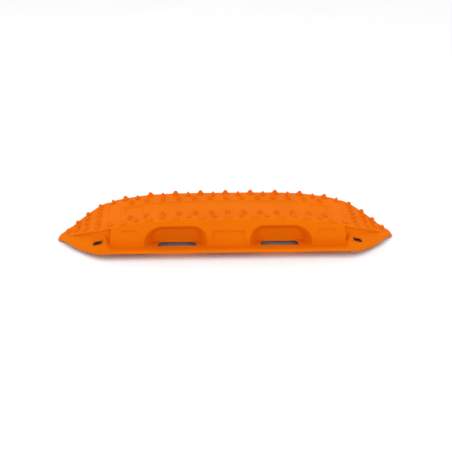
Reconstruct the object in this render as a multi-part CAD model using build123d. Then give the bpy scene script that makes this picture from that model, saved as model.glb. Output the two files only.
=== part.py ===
"""Vehicle traction board: moulded ramp-ended shell with screw-fixed traction studs.

Origin at the centre of the underside: X along the board, Y across it, Z up.
The keel ribs and the two nose tips touch Z = 0.
"""
import math
import os

from build123d import *

# ---- driving dimensions, mm ----
LENGTH = 1060.0          # nose tip to nose tip
WIDTH = 306.0            # across the grip rails
DECK_Z = 109.0           # deck height at mid length
CROWN_DROP = 34.0        # how far the deck falls from mid length to CROWN_X
CROWN_X = 380.0
CROWN_POWER = 4.0
RAMP_X = 386.0           # deck ends and ramp begins
RAIL_Z = 18.0            # underside of the grip rail
RAIL_T = 8.0             # thickness of the grip rail
RAIL_W = 34.0            # rail width outside the side wall
LIP_STEP = 4.0           # lower lip standing out past the rail top
TAPER_X = 366.0          # rail starts to curve in towards the nose
NOSE_T = 6.0             # thickness of the nose sheet
WALL = 5.0               # side wall and ramp thickness
DECK_T = 6.0             # deck thickness
DRAFT = 6.0              # side wall draft, degrees
CORNER_X = 364.0         # end of the full width deck block
RAMP_LIP = 8.0           # the ramp sheet stands out this far past the ramp wall
RAMP_LIP_T = 4.0         # thickness of that lip
RAMP_HALF_W = 114.0      # half width of the ramp where it leaves the deck
SHOULDER_RISE = 33.0     # end shoulder climbs this much from rail to ramp
EDGE_R = 3.0             # rounding of the deck block's vertical corners

# hand pockets, one pair on each long side
POCKET_INNER_X = 67.0
POCKET_OUTER_X = 256.0
POCKET_TOP_Z = 90.0
POCKET_MOUTH_Y = 112.0
POCKET_BACK_Y = 79.0
POCKET_TAPER = 36.0     # slant of the pocket ends, degrees
POCKET_WALL = 4.0
SLOT_INNER_X = 99.0
SLOT_OUTER_X = 215.0
SLOT_NEAR_Y = 116.0
SLOT_FAR_Y = 82.0
SLOT_SHEET = 4.0         # sheet thickness round the hand slots
SLOT_CHAMFER = 9.0

# relief panels on the side walls
PANEL_HALF_X = 47.5
PANEL_TOP_Z = 72.0
PANEL_DEPTH = 6.0
WINDOW_X = (272.0, 324.0)
WINDOW_Z = (43.0, 74.0)
WINDOW_DEPTH = 3.5
PANEL_BACKING = 5.0

# relief on the deck
CHANNEL_HALF_Y = 36.0
CHANNEL_HALF_X = 332.0
CHANNEL_DEPTH = 3.0
DECK_POCKET_X = (262.0, 318.0)
DECK_POCKET_HALF_Y = 28.0
DECK_POCKET_DEPTH = 6.0
CHANNEL_BACKING = 11.0
GROOVE_X = 370.0
GROOVE_W = 5.0
GROOVE_DEPTH = 2.0

# leash holes in the end shoulders
LEASH_X = 396.0
LEASH_Y = 113.0
LEASH_TURN = -24.0       # long axis turned in towards the nose, degrees
LEASH_LENGTH = 36.0
LEASH_WIDTH = 15.0
LEASH_RIM = 2.0
LEASH_RIM_H = 0.8

# ribs below the deck
RIB_T = 4.0
KEEL_Y = 76.0
KEEL_HALF_X = 352.0
MID_RIB_Y = 24.0
RIB_Z = 22.0             # lower edge of every rib except the keels
INNER_RIB_X = [25.0 + 50.0 * i for i in range(7)]
OUTER_RIB_X = [20.0, 60.0, 262.0, 300.0]
RAMP_RIB_X = 384.0
RAMP_RIB_Y = 42.0
RAMP_RIB_END = 478.0
RAMP_RIB_Z = 20.0

# studs and their fixings
SEAT_SINK = 1.0          # stud seat below the deck surface
SEAT_GAP = 0.3           # clearance round a stud base
BOSS_R = 8.5
BOSS_LENGTH = 5.8
STUD_BASE_T = 3.0
HOLE_R = 2.9
STUD_BORE_R = 2.5
SCREW_R = 2.45
SCREW_HEAD_R = 4.6
SCREW_HEAD_H = 2.8
SCREW_DRIVE = 2.5        # across flats of the hex socket
SCREW_BITE = 8.0         # shank length inside the stud
WASHER_R = 6.0
WASHER_BORE_R = 2.6
WASHER_T = 1.2

# stud kinds: base length (X), base width (Y), crest length, crest width, height over the deck
BROAD = (20.0, 17.0, 7.0, 5.0, 12.5)
NARROW = (15.0, 14.0, 4.0, 4.0, 12.0)
FIN = (13.0, 24.0, 4.0, 12.0, 12.0)
RAMP = (17.0, 16.0, 7.0, 6.0, 10.5)

EDGE_ROW_Y = 96.0
OFFSET_ROW_Y = 86.0
INNER_ROW_Y = 58.0
EDGE_ROW_X = [80.0 * i for i in range(-4, 5)]
OFFSET_ROW_X = [-358.0] + [80.0 * i + 40.0 for i in range(-4, 4)] + [358.0]
INNER_ROW_X = [50.0 * i for i in range(-6, 7)]
RAMP_SPOTS = [(399.0, 80.0), (399.0, 55.0), (399.0, 28.0), (399.0, 0.0), (436.0, 54.0),
              (436.0, 19.0), (466.0, 26.0), (466.0, 0.0), (494.0, 0.0)]

RAIL_TOP = RAIL_Z + RAIL_T
HALF_L = LENGTH / 2
HALF_W = WIDTH / 2
BODY_HALF_W = HALF_W - RAIL_W
# end shoulder sections: X, |Y| where the slope starts and ends, rail level, rise
SHOULDER_SECTIONS = [(356.0, 145.0, 101.0, RAIL_TOP, 0.1),
                     (374.0, 142.5, 101.0, RAIL_TOP - 1.2, SHOULDER_RISE),
                     (420.0, 124.0, 83.0, 20.0, 29.0),
                     (452.0, 102.0, 61.0, 16.0, 22.0),
                     (HALF_L + 2, 60.0, 20.0, NOSE_T, 0.1)]
ABOVE = DECK_Z + 40.0
BELOW = 60.0


# ---- shape of the deck line ----
def half_line():
    """Points of the deck and ramp line from mid length to one nose."""
    crown = [(x, DECK_Z - CROWN_DROP * (x / CROWN_X) ** CROWN_POWER)
             for x in (0.0, 90.0, 180.0, 260.0, 325.0)]
    ramp = [(RAMP_X, 76.5), (420.0, 64.0), (450.0, 49.5), (480.0, 32.5), (508.0, 17.0),
            (HALF_L, NOSE_T)]
    return crown + ramp


def deck_curve(drop):
    """The whole deck line, lowered by drop, drawn on its own plane."""
    half = [(x, z - drop) for x, z in half_line()]
    return Spline(*([(-x, z) for x, z in reversed(half[1:])] + half))


def profile_prism(drop):
    """Solid below the deck line lowered by drop, across the whole width."""
    top = deck_curve(drop)
    with BuildPart() as prism:
        with BuildSketch(Plane.XZ):
            with BuildLine():
                add(top)
                Polyline(top @ 1, (HALF_L + 1, -BELOW), (-HALF_L - 1, -BELOW), top @ 0)
            make_face()
        extrude(amount=WIDTH, both=True)
    return prism.part


def spot(x, y, curve=deck_curve(0)):
    """Frame on the deck at x, y with Z along the surface normal."""
    low, high = 0.0, 1.0
    for _ in range(40):
        mid = (low + high) / 2
        if (curve @ mid).X < x:
            low = mid
        else:
            high = mid
    point = curve @ low
    run = curve % low
    return Plane(origin=(x, y, point.Y), x_dir=(run.X, 0, run.Y), z_dir=(-run.Y, 0, run.X))


# ---- plan outlines ----
def outline(inset=0.0):
    """Plan outline of the rail and nose, moved in by inset."""
    nose_points = [(TAPER_X, HALF_W, 90.0), (410.0, 137.0, 56.0), (452.0, 101.0, 43.0),
                   (490.0, 60.5, 46.0), (517.0, 27.0, 48.0), (HALF_L, 0.0, 0.0)]
    corner = [(x - inset * math.cos(math.radians(a)), y - inset * math.sin(math.radians(a)))
              for x, y, a in nose_points]
    side = HALF_W - inset
    with BuildSketch() as sk:
        with BuildLine():
            nose = Spline(*corner, tangents=[(1, 0), (0, -1)])
            other = mirror(nose, about=Plane.XZ)
            mirror(nose, about=Plane.YZ)
            mirror(other, about=Plane.YZ)
            Line((-TAPER_X, side), (TAPER_X, side))
            Line((-TAPER_X, -side), (TAPER_X, -side))
        make_face()
    return sk.sketch


def ramp_plan(inset=0.0, lip=0.0):
    """Plan of the ramp body: straight under the deck, tapering to each nose."""
    side = [(CORNER_X, RAMP_HALF_W - lip), (394.0, 112.0 - lip), (418.0, 96.5 - lip),
            (456.0, 66.5 - 0.8 * lip), (484.0, 41.0 - 0.4 * lip), (514.0, 0.0)]
    right = [(x, -y) for x, y in side] + [(x, y) for x, y in reversed(side[:-1])]
    plan = Polygon(*(right + [(-x, -y) for x, y in right]), align=None)
    return offset(plan, amount=-inset, kind=Kind.INTERSECTION) if inset else plan


def mound(inset, drop, lip):
    """Deck block and ramp body under the deck line, the ramp drawn in by lip."""
    width = 2 * (BODY_HALF_W - inset)
    deck_plan = RectangleRounded(2 * (CORNER_X - inset), width, EDGE_R)
    block = extrude(deck_plan, amount=ABOVE, dir=(0, 0, 1), taper=DRAFT)
    nose = extrude(ramp_plan(inset, lip), amount=ABOVE, dir=(0, 0, 1), taper=DRAFT)
    return (block + nose) & profile_prism(drop)


def box(x0, x1, y0, y1, z0, z1):
    """Box between two corners."""
    return Pos((x0 + x1) / 2, (y0 + y1) / 2, (z0 + z1) / 2) * Box(x1 - x0, y1 - y0, z1 - z0)


def four_ways(solid):
    """The solid and its copies on the other three quarters of the board."""
    pair = [solid, mirror(solid, about=Plane.YZ)]
    return pair + [mirror(part, about=Plane.XZ) for part in pair]


# ---- rail and end shoulders ----
def shoulder(drop):
    """Block over the +X nose: level at the rail edge and climbing to the ramp."""
    wide = HALF_W + 5
    faces = []
    for x, knee, ridge, level, rise in SHOULDER_SECTIONS:
        z = max(level - drop, 0.0)
        pts = [(wide, -BELOW), (wide, z), (knee, z), (ridge, z + rise)]
        pts += [(-y, z) for y, z in reversed(pts)]
        plane = Plane(origin=(x, 0, 0), x_dir=(0, 1, 0), z_dir=(1, 0, 0))
        faces.append(plane * Polygon(*pts, align=None))
    return loft(faces, ruled=True)


def shoulder_height(x, y):
    """Top of the shoulder sheet on its slope between the rail edge and the ramp."""
    (x0, knee0, ridge0, level0, rise0), (x1, knee1, ridge1, level1, rise1) = SHOULDER_SECTIONS[1:3]
    share = (x - x0) / (x1 - x0)
    knee = knee0 + (knee1 - knee0) * share
    ridge = ridge0 + (ridge1 - ridge0) * share
    level = level0 + (level1 - level0) * share
    rise = rise0 + (rise1 - rise0) * share
    return level + rise * (knee - y) / (knee - ridge)


def leash_plane():
    """Plane of the shoulder top at the +X +Y leash hole."""
    z = shoulder_height(LEASH_X, LEASH_Y)
    slope_x = shoulder_height(LEASH_X + 0.5, LEASH_Y) - shoulder_height(LEASH_X - 0.5, LEASH_Y)
    slope_y = shoulder_height(LEASH_X, LEASH_Y + 0.5) - shoulder_height(LEASH_X, LEASH_Y - 0.5)
    return Plane(origin=(LEASH_X, LEASH_Y, z), x_dir=(1, 0, slope_x),
                 z_dir=(-slope_x, -slope_y, 1))


# ---- hand pockets ----
def pocket(grow):
    """Space of the pocket at -Y and +X, grown outward by grow."""
    x0, x1, top = POCKET_INNER_X, POCKET_OUTER_X, POCKET_TOP_Z
    reach = (POCKET_MOUTH_Y - POCKET_BACK_Y) + grow
    low = -6.0
    with BuildSketch(Plane(origin=(0, -POCKET_MOUTH_Y, 0), x_dir=(1, 0, 0),
                           z_dir=(0, -1, 0))) as mouth:
        with BuildLine():
            Line((x0, low), (x0, 46))
            ThreePointArc((x0, 46), (x0 + 11, top - 14), (x0 + 38, top))
            Line((x0 + 38, top), (x1 - 56, top))
            ThreePointArc((x1 - 56, top), (x1 - 17, top - 17), (x1, 34))
            Polyline((x1, 34), (x1, low), (x0, low))
        make_face()
    face = mouth.sketch
    if grow:
        face = offset(face, amount=grow)
    inner = extrude(face, amount=reach, dir=(0, 1, 0), taper=POCKET_TAPER)
    outer = extrude(face, amount=20, dir=(0, -1, 0))
    return inner + outer


def hand_slot():
    """Through slot in the floor of the pocket at -Y and +X."""
    c = SLOT_CHAMFER
    pts = [(SLOT_INNER_X, -SLOT_NEAR_Y), (SLOT_OUTER_X, -SLOT_NEAR_Y),
           (SLOT_OUTER_X, -SLOT_FAR_Y - c), (SLOT_OUTER_X - c, -SLOT_FAR_Y),
           (SLOT_INNER_X + c, -SLOT_FAR_Y), (SLOT_INNER_X, -SLOT_FAR_Y - c)]
    return Pos(0, 0, RAIL_Z - 5) * extrude(Polygon(*pts, align=None), amount=RAIL_T + 10,
                                           dir=(0, 0, 1))


def side_relief(x0, x1, z0, z1, depth, behind):
    """Wedge on the -Y side wall, no depth at its foot and full depth at its head."""
    lean = math.tan(math.radians(DRAFT))
    foot = -BODY_HALF_W + z0 * lean + behind
    head = -BODY_HALF_W + z1 * lean + depth + behind
    pts = [(-HALF_W, z0 - behind), (foot, z0 - behind), (head, z1 + behind),
           (-HALF_W, z1 + behind)]
    plane = Plane(origin=(x0 - behind, 0, 0), x_dir=(0, 1, 0), z_dir=(1, 0, 0))
    return extrude(plane * Polygon(*pts, align=None), amount=x1 - x0 + 2 * behind, dir=(1, 0, 0))


# ---- stud spots ----
def rows():
    """Every stud group: name, stud kind and the frames its studs stand on."""
    groups = []
    for side, sign in (("near", -1), ("far", 1)):
        groups.append((f"edge_row_{side}", BROAD, [spot(x, sign * EDGE_ROW_Y)
                                                   for x in EDGE_ROW_X]))
        groups.append((f"offset_row_{side}", NARROW, [spot(x, sign * OFFSET_ROW_Y)
                                                      for x in OFFSET_ROW_X]))
        groups.append((f"inner_row_{side}", FIN, [spot(x, sign * INNER_ROW_Y)
                                                  for x in INNER_ROW_X]))
    for end, sign in (("left", -1), ("right", 1)):
        frames = [spot(sign * x, y) for x, y in RAMP_SPOTS]
        frames += [spot(sign * x, -y) for x, y in RAMP_SPOTS if y]
        groups.append((f"ramp_{end}", RAMP, frames))
    return groups


def on_frame(frame, solid, z):
    """Solid moved onto a deck frame, z along its normal."""
    return frame.location * (Pos(0, 0, z) * solid)


# ---- pieces ----
def make_stud(kind):
    """Stud standing on z = 0 with a blind bore from below."""
    base_x, base_y, crest_x, crest_y, height = kind
    pad = Pos(0, 0, STUD_BASE_T / 2) * Box(base_x, base_y, STUD_BASE_T)
    crown = loft([Pos(0, 0, STUD_BASE_T) * Rectangle(base_x - 1.6, base_y - 1.6),
                  Pos(0, 0, height + SEAT_SINK) * Rectangle(crest_x, crest_y)])
    bore = Pos(0, 0, (SCREW_BITE + 1.0) / 2) * Cylinder(STUD_BORE_R, SCREW_BITE + 1.0)
    return pad + crown - bore


def make_washer():
    """Flat washer, top face on z = 0."""
    return Pos(0, 0, -WASHER_T / 2) * (Cylinder(WASHER_R, WASHER_T)
                                       - Cylinder(WASHER_BORE_R, WASHER_T))


def make_screw():
    """Button head screw, underside of the head on z = 0, shank upwards."""
    shank_h = BOSS_LENGTH + WASHER_T + SCREW_BITE
    shank = Pos(0, 0, shank_h / 2) * Cylinder(SCREW_R, shank_h)
    head = Pos(0, 0, -SCREW_HEAD_H / 2) * Cylinder(SCREW_HEAD_R, SCREW_HEAD_H)
    head = fillet(head.edges().sort_by(Axis.Z)[0], 1.2)
    drive = Pos(0, 0, -SCREW_HEAD_H + 0.8) * extrude(
        RegularPolygon(SCREW_DRIVE / math.sqrt(3), 6), amount=1.6, both=True)
    return head + shank - drive


def make_shell():
    """The moulded board: deck, ramps, side walls, rails, shoulders and ribs."""
    plate = extrude(outline(), amount=ABOVE, dir=(0, 0, 1), both=False)
    plate = plate + extrude(outline(), amount=BELOW, dir=(0, 0, -1))
    slim = extrude(outline(LIP_STEP), amount=ABOVE, dir=(0, 0, 1))
    outer = mound(0, 0, RAMP_LIP) + (mound(0, 0, 0) - profile_prism(RAMP_LIP_T))
    cavity = mound(WALL, DECK_T, RAMP_LIP)
    low = shoulder(RAIL_T)
    step = shoulder(RAIL_T / 2)
    high = shoulder(0)

    rail_low = box(-CORNER_X, CORNER_X, -HALF_W, HALF_W, RAIL_Z, RAIL_TOP - RAIL_T / 2)
    rail_high = box(-CORNER_X, CORNER_X, -HALF_W + LIP_STEP, HALF_W - LIP_STEP, RAIL_Z, RAIL_TOP)
    shell = outer + rail_low + rail_high
    for end in (0, 180):
        shell += (Rot(0, 0, end) * step) & plate
        shell += (Rot(0, 0, end) * high) & slim
    shell -= cavity
    shell -= box(-CORNER_X, CORNER_X, -WIDTH, WIDTH, -BELOW, RAIL_Z)
    for end in (0, 180):
        shell -= Rot(0, 0, end) * low

    # ribs follow the inside of the shell
    plates = []
    for sign in (-1, 1):
        y = sign * KEEL_Y
        plates.append(box(-KEEL_HALF_X, KEEL_HALF_X, y - RIB_T / 2, y + RIB_T / 2, 0, ABOVE))
        y = sign * MID_RIB_Y
        plates.append(box(-KEEL_HALF_X, KEEL_HALF_X, y - RIB_T / 2, y + RIB_T / 2, RIB_Z, ABOVE))
        for x in INNER_RIB_X:
            x = sign * x
            plates.append(box(x - RIB_T / 2, x + RIB_T / 2, -KEEL_Y, KEEL_Y, RIB_Z, ABOVE))
        for x in OUTER_RIB_X:
            x = sign * x
            for y0, y1 in ((-HALF_W, -KEEL_Y), (KEEL_Y, HALF_W)):
                plates.append(box(x - RIB_T / 2, x + RIB_T / 2, y0, y1, RAIL_Z, ABOVE))
        x = sign * RAMP_RIB_X
        for y in (-RAMP_RIB_Y, RAMP_RIB_Y):
            x0, x1 = sorted((x, sign * RAMP_RIB_END))
            plates.append(box(x0, x1, y - RIB_T / 2, y + RIB_T / 2, RAMP_RIB_Z, ABOVE))
        plates.append(box(x - RIB_T / 2, x + RIB_T / 2, -HALF_W, HALF_W, RAMP_RIB_Z + 10,
                          ABOVE))
    shell += Part() + [plate_ & cavity for plate_ in plates]

    # thicker skin behind the channel, the side panels and the hand pockets
    skin = outer & box(-CHANNEL_HALF_X - 8, CHANNEL_HALF_X + 8, -CHANNEL_HALF_Y - 4,
                       CHANNEL_HALF_Y + 4, RAIL_Z, ABOVE)
    shell += skin - profile_prism(CHANNEL_BACKING)
    above_rail = box(-HALF_L, HALF_L, -HALF_W, HALF_W, RAIL_TOP, ABOVE)
    panels = [(-PANEL_HALF_X, PANEL_HALF_X, RAIL_TOP, PANEL_TOP_Z, PANEL_DEPTH),
              (*WINDOW_X, *WINDOW_Z, WINDOW_DEPTH), (-WINDOW_X[1], -WINDOW_X[0], *WINDOW_Z,
                                                     WINDOW_DEPTH)]
    for x0, x1, z0, z1, depth in panels:
        backing = side_relief(x0, x1, z0, z1, depth, PANEL_BACKING) & outer
        backing = backing & box(-HALF_L, HALF_L, -HALF_W, HALF_W, RAIL_Z, ABOVE)
        shell += backing
        shell += mirror(backing, about=Plane.XZ)
    liner = pocket(POCKET_WALL) & outer & box(0, HALF_L, -HALF_W, 0, RAIL_Z, ABOVE)
    shell += Part() + four_ways(liner)
    shell -= four_ways(pocket(0) & above_rail)
    shell -= four_ways(hand_slot())
    # room for the fingers below each slot: thinner floor and a notch in the keel
    under_slot = box(SLOT_INNER_X - 8, SLOT_OUTER_X + 8, -SLOT_NEAR_Y - 2, -KEEL_Y + RIB_T,
                     0, RAIL_TOP - SLOT_SHEET)
    shell -= four_ways(under_slot)
    for x0, x1, z0, z1, depth in panels:
        relief = side_relief(x0, x1, z0, z1, depth, 0.0)
        shell -= [relief, mirror(relief, about=Plane.XZ)]

    # deck channel, deck pockets and the joint grooves
    channel = box(-CHANNEL_HALF_X, CHANNEL_HALF_X, -CHANNEL_HALF_Y, CHANNEL_HALF_Y, 0, ABOVE)
    shell -= channel - profile_prism(CHANNEL_DEPTH)
    cuts = []
    for sign in (-1, 1):
        xa, xb = sorted(sign * x for x in DECK_POCKET_X)
        cuts.append(box(xa, xb, -DECK_POCKET_HALF_Y, DECK_POCKET_HALF_Y, 0, ABOVE)
                    - profile_prism(DECK_POCKET_DEPTH))
        x = sign * GROOVE_X
        cuts.append(box(x - GROOVE_W / 2, x + GROOVE_W / 2, -HALF_W, HALF_W, RAIL_TOP + 25, ABOVE)
                    - profile_prism(GROOVE_DEPTH))
    shell -= cuts

    # leash holes with a raised rim
    plane = leash_plane()
    plane = plane.rotated((0, 0, LEASH_TURN))
    rim_plan = plane * SlotOverall(LEASH_LENGTH + 2 * LEASH_RIM, LEASH_WIDTH + 2 * LEASH_RIM)
    rim = extrude(rim_plan, amount=LEASH_RIM_H) + extrude(rim_plan, amount=-3)
    hole = extrude(plane * SlotOverall(LEASH_LENGTH, LEASH_WIDTH), amount=12, both=True)
    shell += Part() + four_ways(rim)
    shell -= four_ways(hole)

    # stud bosses, seats and holes
    boss = Pos(0, 0, -BOSS_LENGTH / 2) * Cylinder(BOSS_R, BOSS_LENGTH)
    drill = Cylinder(HOLE_R, 30)
    bosses, seats, holes = [], [], []
    for _, kind, frames in rows():
        seat = Pos(0, 0, 3) * Box(kind[0] + 2 * SEAT_GAP, kind[1] + 2 * SEAT_GAP, 6)
        for frame in frames:
            bosses.append(on_frame(frame, boss, -SEAT_SINK))
            seats.append(on_frame(frame, seat, -SEAT_SINK))
            holes.append(on_frame(frame, drill, 0))
    shell += bosses
    shell -= seats
    shell -= holes
    return shell


def save(name, solids):
    """Write one node as parts/name.step."""
    node = solids[0] if len(solids) == 1 else Compound(children=solids)
    node.label = name
    export_step(node, f"parts/{name}.step")


def main():
    os.makedirs("parts", exist_ok=True)
    shell = make_shell()
    pieces = shell.solids()
    pieces.sort(key=lambda s: s.volume, reverse=True)
    save("board_shell", [pieces[0]])
    washer, screw = make_washer(), make_screw()
    for name, kind, frames in rows():
        stud = make_stud(kind)
        under = -SEAT_SINK - BOSS_LENGTH
        save(f"studs_{name}", [on_frame(f, stud, -SEAT_SINK).solid() for f in frames])
        save(f"washers_{name}", [on_frame(f, washer, under).solid() for f in frames])
        save(f"screws_{name}", [on_frame(f, screw, under - WASHER_T).solid() for f in frames])


main()
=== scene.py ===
"""Looks of the traction board: orange moulded plastic on a pale studio floor."""
import math

import bpy
from mathutils import Matrix, Vector


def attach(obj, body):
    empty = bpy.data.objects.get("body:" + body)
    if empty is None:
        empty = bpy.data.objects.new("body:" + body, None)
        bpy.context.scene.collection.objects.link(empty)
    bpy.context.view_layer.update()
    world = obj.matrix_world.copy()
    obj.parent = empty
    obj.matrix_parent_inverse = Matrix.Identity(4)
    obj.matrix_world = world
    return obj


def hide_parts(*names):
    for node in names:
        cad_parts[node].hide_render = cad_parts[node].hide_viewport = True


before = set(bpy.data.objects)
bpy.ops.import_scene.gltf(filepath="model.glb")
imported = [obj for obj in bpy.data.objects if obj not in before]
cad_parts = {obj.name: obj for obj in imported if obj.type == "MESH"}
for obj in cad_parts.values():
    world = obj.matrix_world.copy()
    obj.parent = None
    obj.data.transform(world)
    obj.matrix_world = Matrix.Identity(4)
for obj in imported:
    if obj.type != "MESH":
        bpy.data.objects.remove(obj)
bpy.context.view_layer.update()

# ---- camera: the view angle of the picture ----
AZIMUTH, ELEVATION, ROLL = -3.17, 24.0, -0.62
DISTANCE = 2.9
SENSOR_MM, LENS_MM = 36.0, 73.274
SHIFT = (-0.00155, -0.00752)
TARGET = Vector((0.0, 0.0, 0.05))

# ---- stage ----
FLOOR_HALF_M, FLOOR_CELLS = 7.0, 24
WORLD_STRENGTH = 1.0
# name, place in metres, size in metres, watts
LAMPS = (("key", (-0.3, 1.5, 2.8), 1.6, 17.0),
         ("fill", (0.2, -2.8, 0.7), 1.6, 9.0),
         ("side", (-2.2, -1.0, 1.6), 2.0, 3.0))

# ---- plastic ----
# paler edge colour: partly real edge wear, partly a painted highlight on outside edges
WORN_EDGE_AND_HIGHLIGHT = (0.86, 0.24, 0.02)
SPECK_SHADE = 0.86           # specks are this much darker than the base colour
PLASTIC_IOR, PLASTIC_SPECULAR = 1.5, 0.02

# ---- meshes, metres ----
VOXEL, VOXEL_QUICK = 0.0012, 0.0016
SOFTEN_STEPS, SOFTEN_STEPS_QUICK = 7, 4
KEPT_FACES = 0.32            # share of the faces left by the last decimation
STUD_BEVEL, FIXING_BEVEL = 0.0009, 0.00025
WELD_GAP = 1e-6
FLAT_ANGLE, SHARP_ANGLE = math.radians(1.5), math.radians(28)


def make_camera():
    a, e = math.radians(AZIMUTH), math.radians(ELEVATION)
    back = Vector((math.sin(a) * math.cos(e), -math.cos(a) * math.cos(e), math.sin(e)))
    data = bpy.data.cameras.new("camera")
    cam = bpy.data.objects.new("camera", data)
    bpy.context.scene.collection.objects.link(cam)
    turn = (-back).to_track_quat("-Z", "Y").to_matrix().to_4x4()
    cam.matrix_world = (Matrix.Translation(TARGET + back * DISTANCE) @ turn
                        @ Matrix.Rotation(math.radians(-ROLL), 4, "Z"))
    data.sensor_width = SENSOR_MM
    data.lens = LENS_MM
    data.shift_x, data.shift_y = SHIFT
    data.clip_start, data.clip_end = 0.05, 50.0
    bpy.context.scene.camera = cam


# ---- materials ----
def new_material(name):
    mat = bpy.data.materials.new(name)
    mat.use_nodes = True
    tree = mat.node_tree
    tree.nodes.clear()
    out = tree.nodes.new("ShaderNodeOutputMaterial")
    bsdf = tree.nodes.new("ShaderNodeBsdfPrincipled")
    tree.links.new(bsdf.outputs[0], out.inputs[0])
    return mat, tree, bsdf


def noise(tree, scale, detail=4.0, rough=0.5, stretch=None):
    coord = tree.nodes.new("ShaderNodeTexCoord")
    node = tree.nodes.new("ShaderNodeTexNoise")
    node.inputs["Scale"].default_value = scale
    node.inputs["Detail"].default_value = detail
    node.inputs["Roughness"].default_value = rough
    if stretch:
        mapping = tree.nodes.new("ShaderNodeMapping")
        mapping.inputs["Scale"].default_value = stretch
        tree.links.new(coord.outputs["Object"], mapping.inputs["Vector"])
        tree.links.new(mapping.outputs[0], node.inputs["Vector"])
    else:
        tree.links.new(coord.outputs["Object"], node.inputs["Vector"])
    return node.outputs["Fac"]


def ramp(tree, value, stops):
    node = tree.nodes.new("ShaderNodeValToRGB")
    node.color_ramp.elements[0].position = stops[0][0]
    node.color_ramp.elements[0].color = stops[0][1]
    node.color_ramp.elements[1].position = stops[1][0]
    node.color_ramp.elements[1].color = stops[1][1]
    for pos, colour in stops[2:]:
        node.color_ramp.elements.new(pos).color = colour
    tree.links.new(value, node.inputs[0])
    return node.outputs[0]


def maths(tree, op, a, b):
    node = tree.nodes.new("ShaderNodeMath")
    node.operation = op
    for i, v in enumerate((a, b)):
        if isinstance(v, float):
            node.inputs[i].default_value = v
        else:
            tree.links.new(v, node.inputs[i])
    return node.outputs[0]


def bump(tree, height, strength, distance, normal=None):
    node = tree.nodes.new("ShaderNodeBump")
    node.inputs["Strength"].default_value = strength
    node.inputs["Distance"].default_value = distance
    tree.links.new(height, node.inputs["Height"])
    if normal is not None:
        tree.links.new(normal, node.inputs["Normal"])
    return node.outputs[0]


def pointy(tree, low, high):
    """1 on outside edges, 0 on flats and in corners."""
    geo = tree.nodes.new("ShaderNodeNewGeometry")
    node = tree.nodes.new("ShaderNodeMapRange")
    node.inputs["From Min"].default_value = low
    node.inputs["From Max"].default_value = high
    tree.links.new(geo.outputs["Pointiness"], node.inputs["Value"])
    return node.outputs[0]


def mix(tree, share, a, b):
    node = tree.nodes.new("ShaderNodeMix")
    node.data_type = "RGBA"
    tree.links.new(share, node.inputs[0])
    for socket, v in ((node.inputs[6], a), (node.inputs[7], b)):
        if isinstance(v, tuple):
            socket.default_value = (*v, 1.0)
        else:
            tree.links.new(v, socket)
    return node.outputs[2]


def grey(v):
    return (v, v, v, 1.0)


def plastic(name, base, pale, rough, grain_scale):
    mat, tree, bsdf = new_material(name)
    cloud = noise(tree, 7.0, 5.0, 0.55)
    colour = ramp(tree, cloud, [(0.3, (*base, 1)), (0.72, (*pale, 1))])
    speck = ramp(tree, noise(tree, 420.0, 3.0, 0.7), [(0.42, grey(0.0)), (0.7, grey(0.22))])
    colour = mix(tree, speck, colour, tuple(c * SPECK_SHADE for c in base))
    # paler patches on outside edges: partly real edge wear, partly painted highlight
    # standing in for the bright edge rims
    edge_wear_and_highlight_patches = noise(tree, 70.0, 6.0, 0.7, (1.0, 3.0, 1.0))
    edge = maths(tree, "MULTIPLY", pointy(tree, 0.52, 0.62),
                 ramp(tree, edge_wear_and_highlight_patches, [(0.42, grey(0.0)), (0.62, grey(0.55))]))
    colour = mix(tree, edge, colour, WORN_EDGE_AND_HIGHLIGHT)
    tree.links.new(colour, bsdf.inputs["Base Color"])
    smudge = ramp(tree, noise(tree, 22.0, 6.0, 0.62),
                  [(0.3, grey(rough - 0.05)), (0.7, grey(rough + 0.1))])
    tree.links.new(smudge, bsdf.inputs["Roughness"])
    bsdf.inputs["IOR"].default_value = PLASTIC_IOR
    bsdf.inputs["Specular IOR Level"].default_value = PLASTIC_SPECULAR
    fine = bump(tree, noise(tree, grain_scale, 3.0, 0.65), 0.35, 0.0004)
    wave = bump(tree, noise(tree, 34.0, 2.0, 0.4), 0.1, 0.002, fine)
    tree.links.new(wave, bsdf.inputs["Normal"])
    return mat


def steel(name):
    mat, tree, bsdf = new_material(name)
    bsdf.inputs["Metallic"].default_value = 1.0
    colour = ramp(tree, noise(tree, 60.0), [(0.3, grey(0.5)), (0.7, (0.66, 0.66, 0.65, 1))])
    tree.links.new(colour, bsdf.inputs["Base Color"])
    rough = ramp(tree, noise(tree, 400.0), [(0.3, grey(0.28)), (0.7, grey(0.45))])
    tree.links.new(rough, bsdf.inputs["Roughness"])
    tree.links.new(bump(tree, noise(tree, 700.0), 0.2, 0.0003), bsdf.inputs["Normal"])
    return mat


def paint(obj, mat):
    obj.data.materials.clear()
    obj.data.materials.append(mat)


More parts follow.
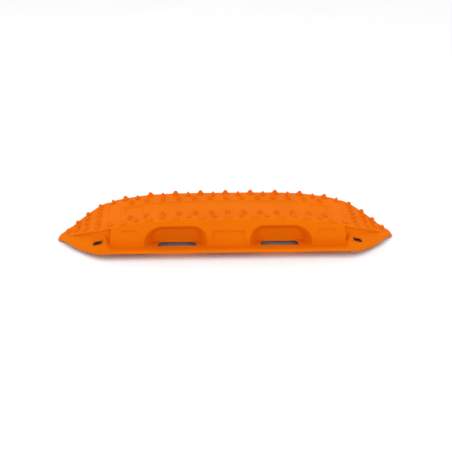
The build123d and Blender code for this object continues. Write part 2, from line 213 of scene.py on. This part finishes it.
# ---- floor, world and lamps ----
def make_stage():
    mesh = bpy.data.meshes.new("floor")
    n, size = FLOOR_CELLS, FLOOR_HALF_M
    verts, faces = [], []
    for j in range(n + 1):
        for i in range(n + 1):
            verts.append(((i / n - 0.5) * 2 * size, (j / n - 0.5) * 2 * size, 0.0))
    for j in range(n):
        for i in range(n):
            a = j * (n + 1) + i
            faces.append((a, a + 1, a + n + 2, a + n + 1))
    mesh.from_pydata(verts, [], faces)
    floor = bpy.data.objects.new("floor", mesh)
    bpy.context.scene.collection.objects.link(floor)
    mat, tree, bsdf = new_material("studio_floor")
    tone = ramp(tree, noise(tree, 2.0), [(0.3, grey(0.93)), (0.7, grey(0.95))])
    tree.links.new(tone, bsdf.inputs["Base Color"])
    bsdf.inputs["Roughness"].default_value = 0.9
    bsdf.inputs["Specular IOR Level"].default_value = 0.1
    paint(floor, mat)

    world = bpy.data.worlds.new("studio")
    bpy.context.scene.world = world
    world.use_nodes = True
    back = world.node_tree.nodes["Background"]
    back.inputs["Color"].default_value = (1.0, 1.0, 1.0, 1.0)
    back.inputs["Strength"].default_value = WORLD_STRENGTH

    for name, place, size_m, watts in LAMPS:
        data = bpy.data.lights.new(name, "AREA")
        data.size = size_m
        data.energy = watts
        lamp = bpy.data.objects.new(name, data)
        bpy.context.scene.collection.objects.link(lamp)
        lamp.location = place
        lamp.rotation_mode = "QUATERNION"
        lamp.rotation_quaternion = (TARGET - Vector(place)).to_track_quat("-Z", "Y")


# ---- pieces ----
def evaluated(obj):
    """Mesh of obj with its modifiers applied; obj goes away."""
    graph = bpy.context.evaluated_depsgraph_get()
    mesh = bpy.data.meshes.new_from_object(obj.evaluated_get(graph))
    bpy.data.objects.remove(obj)
    return mesh


def twin(name, mesh):
    obj = bpy.data.objects.new(name, mesh)
    bpy.context.scene.collection.objects.link(obj)
    return obj


def finish_piece(obj, node, mat):
    obj.data.polygons.foreach_set("use_smooth", [True] * len(obj.data.polygons))
    paint(obj, mat)
    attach(obj, "root")
    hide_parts(node)


def moulded_shell():
    """The shell with every edge softened the way a moulding's are."""
    obj = twin("shell_work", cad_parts["board_shell"].data.copy())
    obj.modifiers.new("weld", "WELD").merge_threshold = WELD_GAP
    remesh = obj.modifiers.new("remesh", "REMESH")
    remesh.mode = "VOXEL"
    remesh.voxel_size = VOXEL
    soften = obj.modifiers.new("soften", "SMOOTH")
    soften.factor = 0.5
    soften.iterations = SOFTEN_STEPS
    obj = twin("shell_work2", evaluated(obj))
    obj.modifiers.new("thin", "DECIMATE").ratio = KEPT_FACES
    shell = twin("moulded_shell", evaluated(obj))
    finish_piece(shell, "board_shell", ORANGE)


def bevelled(node, width, mat):
    """A hardware or stud node with its sharp edges broken."""
    obj = twin(node + "_work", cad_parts[node].data.copy())
    obj.modifiers.new("weld", "WELD").merge_threshold = WELD_GAP
    flat = obj.modifiers.new("flat", "DECIMATE")
    flat.decimate_type = "DISSOLVE"
    flat.angle_limit = FLAT_ANGLE
    bev = obj.modifiers.new("bevel", "BEVEL")
    bev.width = width
    bev.segments = 3
    bev.limit_method = "ANGLE"
    bev.angle_limit = SHARP_ANGLE
    bev.use_clamp_overlap = True
    bev.harden_normals = False
    tri = obj.modifiers.new("tri", "TRIANGULATE")
    tri.min_vertices = 5
    piece = twin(node.replace("studs", "stud").replace("screws", "screw")
                 .replace("washers", "washer") + "_piece", evaluated(obj))
    finish_piece(piece, node, mat)
    mod = piece.modifiers.new("normals", "WEIGHTED_NORMAL")
    mod.keep_sharp = True


scene_view = bpy.context.scene.view_settings
scene_view.view_transform = "Standard"
scene_view.look = "None"
make_camera()
make_stage()
ORANGE = plastic("orange_plastic", (0.76, 0.152, 0.001), (0.82, 0.17, 0.001), 0.6, 1500.0)
STUD = plastic("orange_stud", (0.77, 0.156, 0.001), (0.83, 0.174, 0.001), 0.55, 2200.0)
STEEL = steel("zinc_steel")
moulded_shell()
for name in sorted(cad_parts):
    if name.startswith("studs"):
        bevelled(name, STUD_BEVEL, STUD)
    elif name.startswith(("screws", "washers")):
        bevelled(name, FIXING_BEVEL, STEEL)
